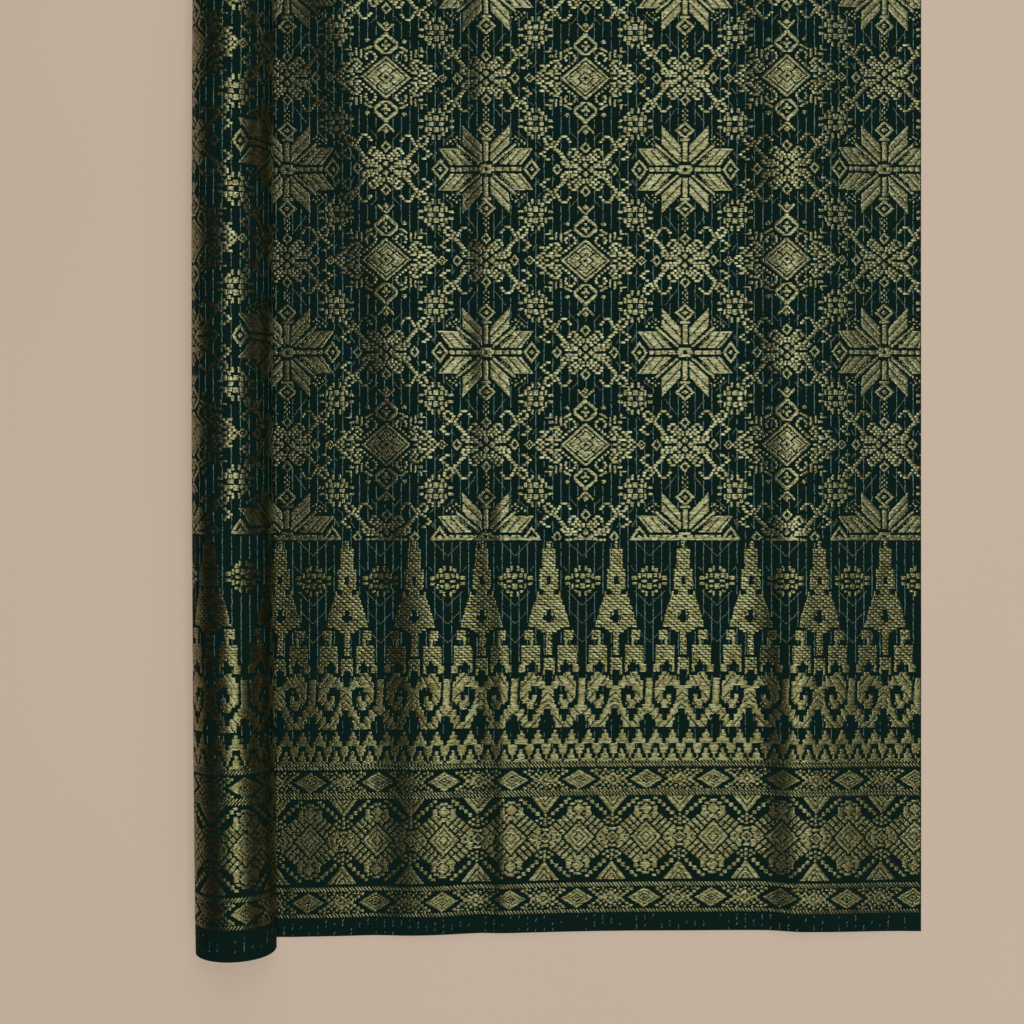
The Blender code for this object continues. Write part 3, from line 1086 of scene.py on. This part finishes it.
# Gold metal thread: flat metallic strip wound round a core. It glints in short lengths and is duller and
# browner in places.
def goldMaterial(name, colours):
    material, tree, shader = newMaterial(name)
    shade = addNode(tree, "ShaderNodeAttribute", attribute_name="shade").outputs["Fac"]
    place = addNode(tree, "ShaderNodeTexCoord").outputs["Object"]
    wear = addSpots(tree, place, gold["wear"], 3.0)
    strands = addSpots(tree, place, gold["strand"])
    shade = addNode(tree, "ShaderNodeMath", {0: shade, 1: gold["shadeShare"]}, operation="MULTIPLY")
    wear = addNode(tree, "ShaderNodeMath", {0: wear, 1: gold["wearShare"]}, operation="MULTIPLY")
    share = addNode(tree, "ShaderNodeMath", {0: shade, 1: wear}, operation="ADD")
    low, high = gold["brightRange"]
    bright = addNode(tree, "ShaderNodeMapRange", {"Value": share, "From Min": low, "From Max": high})
    values = {0: bright, 6: hexColour(colours["dark"]), 7: hexColour(colours["light"])}
    colour = addNode(tree, "ShaderNodeMix", values, data_type="RGBA").outputs[2]
    values = {"Height": strands, "Distance": gold["bumpDepth"], "Strength": gold["bump"]}
    bump = addNode(tree, "ShaderNodeBump", values)
    low, high = gold["strandRange"]
    least = gold["roughness"] - gold["roughnessSpread"] / 2
    values = {"Value": strands, "From Min": low, "From Max": high}
    values.update({"To Min": least, "To Max": least + gold["roughnessSpread"]})
    rough = addNode(tree, "ShaderNodeMapRange", values)
    setSockets(tree, shader, {"Base Color": colour, "Normal": bump, "Roughness": rough, "Metallic": 1.0})
    return material


# The dashes stand in columns "spacing" apart. Sizes are in units but where said.
turquoise = {
    "light": "78a296",
    "dark": "3c635a",
    "spacing": 8.38,
    "axisX": -284.6,
    "pitch": 3.1,
    "length": 3.1,
    "width": 0.85,
    "scatter": 0.5,
    "lengths": (0.7, 1.25),
    "widths": (0.7, 1.15),
    "sway": 0.3,
    "lean": 4,  # degrees
    "clear": 1.2,
    "inset": 2.0,
    "pastFar": 8,
    "fromV": 186.0,
    "share": 0.97,
    "fullFromV": 262.0,  # below this the dashes are fewer and finer
    "fewerShare": 0.6,
    "fewerWidth": 0.75,
    "hemTo": 16.0,
    "hemShare": 0.38,
    "hemLength": 0.8,
    "hemSlant": -24,
    "fibre": (0.3333, 0.8333, 0.8333),  # mm
    "bumpDepth": 0.00005,
    "bump": 0.4,
    "roughness": 0.6,
}


# Cotton, spun and dyed a pale turquoise: matt, faintly hairy and unevenly dyed.
def turquoiseMaterial():
    material, tree, shader = newMaterial("turquoise cotton thread")
    shade = addNode(tree, "ShaderNodeAttribute", attribute_name="shade").outputs["Fac"]
    values = {0: shade, 6: hexColour(turquoise["dark"]), 7: hexColour(turquoise["light"])}
    colour = addNode(tree, "ShaderNodeMix", values, data_type="RGBA").outputs[2]
    place = addNode(tree, "ShaderNodeTexCoord").outputs["Object"]
    fibres = addSpots(tree, place, turquoise["fibre"])
    values = {"Height": fibres, "Distance": turquoise["bumpDepth"], "Strength": turquoise["bump"]}
    bump = addNode(tree, "ShaderNodeBump", values)
    setSockets(tree, shader, {"Base Color": colour, "Normal": bump, "Roughness": turquoise["roughness"]})
    return material


# Dashes along the cloth between the motifs, wherever there is no gold.
def warpDashes(field):
    settings = field["settings"]
    spacing = turquoise["spacing"]
    inset = turquoise["inset"]
    first = math.ceil((settings["fromX"] + inset - turquoise["axisX"]) / spacing)
    last = math.floor((settings["toX"] - inset - turquoise["axisX"]) / spacing)
    x = turquoise["axisX"] + spacing * np.arange(first, last + 1)
    v = np.arange(inset, settings["toV"] + turquoise["pastFar"], turquoise["pitch"])
    x, v = np.meshgrid(x, v)
    x, v = x.ravel(), v.ravel()
    v = v + random.uniform(0, turquoise["pitch"], x.size) * turquoise["scatter"]
    length = turquoise["length"] * random.uniform(*turquoise["lengths"], x.size)
    column = np.clip(((x - settings["fromX"]) / weave["column"]).astype(int), 0, field["x"].size - 1)
    free = np.ones(x.size, bool)
    for share in (-0.5, 0.0, 0.5):  # each dash's ends and middle keep clear of the gold
        for side in (-turquoise["clear"], 0.0, turquoise["clear"]):
            row = np.round((v + share * length - weave["firstPick"]) / weave["pick"]).astype(int)
            row = np.clip(row, 0, field["v"].size - 1)
            here = np.clip(column + round(side / weave["column"]), 0, field["x"].size - 1)
            free &= field["codes"][row, here] == 0
    inHem, fewer = v < turquoise["hemTo"], v < turquoise["fullFromV"]
    free &= inHem | (v > turquoise["fromV"])
    x = x + random.normal(0, turquoise["sway"] / 2, x.size)
    slant = 90 + random.normal(0, turquoise["lean"], x.size) + np.where(inHem, turquoise["hemSlant"], 0)
    length = np.where(inHem, length * turquoise["hemLength"], length)
    width = turquoise["width"] * random.uniform(*turquoise["widths"], x.size)
    width = width * np.where(fewer, turquoise["fewerWidth"], 1.0)
    share = np.where(fewer, turquoise["fewerShare"], turquoise["share"])
    share = np.where(inHem, turquoise["hemShare"], share)
    kept = free & (random.uniform(0, 1, x.size) < share)
    return asFloats(x, v, length, width, slant)[kept]


groundGold = goldMaterial("gold metal thread", gold["ground"])
borderGold = goldMaterial("deeper gold metal thread", gold["border"])
turquoiseThread = turquoiseMaterial()
pieces = {}
pieceSeamX = -330  # the sheet's gold is two pieces side by side, so that neither has too many faces


def splitFloats(floats, test):
    return floats[test], floats[~test]


upper, lower = splitFloats(sheetFloats, sheetFloats[:, 1] > border["groundFrom"])
upperParts = splitFloats(upper, upper[:, 0] < pieceSeamX)
lowerParts = splitFloats(lower, lower[:, 0] < pieceSeamX)
rollParts = splitFloats(rollFloats, rollFloats[:, 1] > border["groundFrom"] + rollDrift["v"])
for pieceName, floats, thread in (
    ("goldGroundLeft", upperParts[0], groundGold),
    ("goldGroundRight", upperParts[1], groundGold),
    ("goldBorderLeft", lowerParts[0], borderGold),
    ("goldBorderRight", lowerParts[1], borderGold),
    ("goldRoll", rollParts[0], groundGold),
    ("goldRollBorder", rollParts[1], borderGold),
):
    pieces[pieceName] = makeFloats(pieceName, floats, thread)

rollDashes = warpDashes(charted["roll"])
rollDashes[:, 0] += rollDrift["x"]
rollDashes[:, 1] += rollDrift["v"]
sheetDashes = warpDashes(charted["sheet"])
driftSheet(sheetDashes)
dashes = np.concatenate([sheetDashes, rollDashes])
thinStitch = {"Points Along": 3, "Points Across": 2, "Side Drop": 0.0, "Roll": 0.0}
pieces["turquoiseDashes"] = makeFloats("turquoiseDashes", dashes, turquoiseThread, thinStitch)


# Link threads: thin pale lines of small stitches that run slantwise between motifs.

# In units. Each link runs from one place to another, about a motif's middle or a point between spires.
link = {
    "pitch": 2.2,
    "length": 1.5,
    "width": 0.6,
    "jitter": 0.2,
    "columns": (0, 7),
    "rows": (-4, 3),
    "spires": 10,
    "inset": {"hem": 3, "right": 2},
    "light": "97a37c",
    "dark": "566a55",
    "roughness": 0.5,
}
crossLinks = ((15, 38, 8, 30), (44, 24, 48, 28.5), (46.5, 10, 51, 16.5), (31, -9, 34, -14))
starLinks = ((20, 47, 12, 57), (54, 11, 49, 18), (31, 38, 42, 28))
spireLinks = (
    (0, 381, 15, 396),
    (15, 366, 19, 371),
    (0, 331, 15, 346),
    (0, 313, 13, 326),
    (0, 294, 12, 306),
)


# Thin silk thread twisted with a little gold: pale, with a soft sheen.
def linkMaterial():
    material, tree, shader = newMaterial("pale silk thread")
    shade = addNode(tree, "ShaderNodeAttribute", attribute_name="shade").outputs["Fac"]
    values = {0: shade, 6: hexColour(link["dark"]), 7: hexColour(link["light"])}
    colour = addNode(tree, "ShaderNodeMix", values, data_type="RGBA").outputs[2]
    setSockets(tree, shader, {"Base Color": colour, "Roughness": link["roughness"]})
    return material


def linkStitches(startX, startV, endX, endV):
    length = math.hypot(endX - startX, endV - startV)
    count = max(2, round(length / link["pitch"]))
    share = (np.arange(count) + 0.5) / count
    slant = math.degrees(math.atan2(endV - startV, endX - startX))
    x = startX + share * (endX - startX) + random.normal(0, link["jitter"], count)
    v = startV + share * (endV - startV) + random.normal(0, link["jitter"], count)
    return asFloats(x, v, link["length"], link["width"], slant)


def makeLinks():
    found = []
    for i in range(*link["columns"]):
        x = lattice["x"] + lattice["stepX"] * i
        for n in range(*link["rows"]):
            v = lattice["v"] + lattice["stepV"] * n
            if n % 2 == 0 and i % 2 == 0:
                lines = starLinks
            elif n % 2 != 0 and i % 2 != 0:
                continue
            else:
                lines = crossLinks
            for sideX in (-1, 1):
                for sideV in (-1, 1):
                    for startX, startV, endX, endV in lines:
                        ends = (x + sideX * startX, v + sideV * startV, x + sideX * endX, v + sideV * endV)
                        found.append(linkStitches(*ends))
    ground = np.concatenate(found)
    fromV = border["groundFrom"] + link["inset"]["hem"]
    ground = ground[(ground[:, 1] > fromV) & (ground[:, 1] < fields["sheet"]["toV"])]
    driftSheet(ground)
    spires = []
    for k in range(link["spires"]):
        x = border["axisX"] - border["period"] * (k + 0.5)
        for side in (-1, 1):
            for startX, startV, endX, endV in spireLinks:
                spires.append(linkStitches(x + side * startX, startV, x + side * endX, endV))
    links = np.concatenate([ground] + spires)
    return links[(links[:, 0] < -link["inset"]["right"]) & (links[:, 0] > fields["sheet"]["fromX"])]


links = makeLinks()
pieces["linkThreads"] = makeFloats("linkThreads", links, linkMaterial(), thinStitch)


# Floor and light.

floor = {
    "size": 6.0,
    "colour": "d0bca9",
    "spread": "cbb6a4",
    "cloud": (333.3, 333.3, 333.3),  # mm
    # painted light: the floor shines in its own colour, standing in for the room's light on it
    "paintedLight": 0.42,
    "roughness": 0.9,
    "gloss": 0.1,
}


# Plaster, painted a warm pale tone: matt and faintly clouded. It glows a little: painted light that stands in
# for the room's light falling on it.
def makeFloor():
    half = floor["size"] / 2
    data = bpy.data.meshes.new("floor")
    corners = [(-half, -half, 0), (half, -half, 0), (half, half, 0), (-half, half, 0)]
    data.from_pydata(corners, [], [(0, 1, 2, 3)])
    material, tree, shader = newMaterial("pale plaster")
    place = addNode(tree, "ShaderNodeTexCoord").outputs["Object"]
    clouds = addSpots(tree, place, floor["cloud"])
    values = {0: clouds, 6: hexColour(floor["colour"]), 7: hexColour(floor["spread"])}
    colour = addNode(tree, "ShaderNodeMix", values, data_type="RGBA").outputs[2]
    setSockets(tree, shader, {
        "Base Color": colour,
        "Roughness": floor["roughness"],
        "Specular IOR Level": floor["gloss"],
        # painted light: the floor shines in its own colour
        "Emission Color": colour,
        "Emission Strength": floor["paintedLight"],
    })
    data.materials.append(material)
    return makeObject("floor", data)


# The key is a wide softbox overhead and to the right: flat gold mirrors it, gold that leans left doesn't.
lights = {
    "key": {
        "place": (0.36, 0.3, 2.2), "aim": (0.36, 0.3, 0),
        "size": (0.76, 2.8), "power": 21.2, "colour": "ffffff",
    },
    "right": {
        "place": (1.52, 0.3, 2.2), "aim": (1.52, 0.3, 0),
        "size": (1.56, 2.8), "power": 2.0, "colour": "fffdf8",
    },
    "front": {
        "place": (0.2, -1.9, 1.2), "aim": (0.0, 0.0, 0),
        "size": (2.0, 0.8), "power": 6.0, "colour": "fffaf2",
    },
    "back": {
        "place": (0.2, 1.9, 1.2), "aim": (0.0, 0.0, 0),
        "size": (2.0, 0.8), "power": 6.0, "colour": "fffaf2",
    },
}
world = {"colour": "e9ebee", "strength": 0.03}


def makeLight(name, settings):
    data = bpy.data.lights.new(name, "AREA")
    data.shape = "RECTANGLE"
    data.size, data.size_y = settings["size"]
    data.energy = settings["power"]
    data.color = hexColour(settings["colour"])[:3]
    holder = makeObject(name, data)
    holder.location = settings["place"]
    view = Vector(settings["aim"]) - Vector(settings["place"])
    holder.rotation_euler = view.to_track_quat("-Z", "Y").to_euler()
    return holder


def makeWorld():
    background = bpy.data.worlds.new("studio")
    background.use_nodes = True
    shader = background.node_tree.nodes["Background"]
    shader.inputs["Color"].default_value = hexColour(world["colour"])
    shader.inputs["Strength"].default_value = world["strength"]
    bpy.context.scene.world = background


makeFloor()
for lightName, lightSettings in lights.items():
    makeLight(lightName, lightSettings)
makeWorld()
bpy.context.scene.view_settings.view_transform = "Standard"
print("floor and lights placed")


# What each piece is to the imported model.

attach(ground, "root")
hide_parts(clothNode)
for piece in pieces.values():
    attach(piece, "root")
